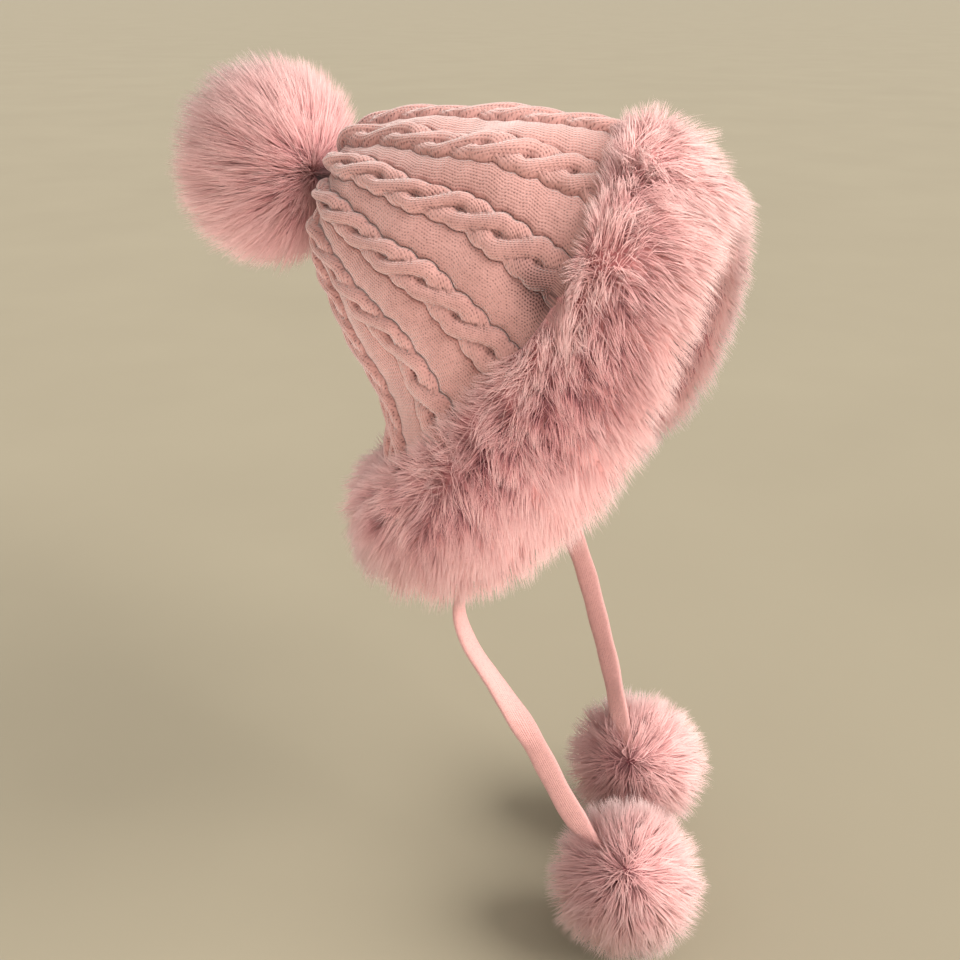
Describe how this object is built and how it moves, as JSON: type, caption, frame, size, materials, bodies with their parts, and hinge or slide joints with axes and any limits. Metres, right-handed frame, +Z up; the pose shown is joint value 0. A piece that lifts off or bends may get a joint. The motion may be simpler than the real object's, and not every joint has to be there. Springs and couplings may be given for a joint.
{
  "type": "pom-pom hat",
  "caption": "Cable-knit winter hat with ear flaps, a broad fur trim round its edge, a fur pompom on the gathered crown, and flat knitted ties that end in fur pompoms.",
  "frame": {"origin": "the point inside the top of the crown that rests on the top of the wearer's head", "axes": "+Z up; the wearer faces -Y, so the wearer's right side is -X and the pompom of the crown is towards +Y"},
  "size_m": [0.2529, 0.4016, 0.5415],
  "materials": {
    "knit": "matt wool knit, dusty rose",
    "fur": "long soft pile, pink, darker at the roots",
    "tie": "matt flat knitted tube, light rose"
  },
  "bodies": {
    "root": {"crown": "knit", "fur_trim": "fur", "top_pompom": "fur", "tie_right": "tie", "tie_left": "tie", "tie_pompom_right": "fur", "tie_pompom_left": "fur"}
  },
  "joints": []
}
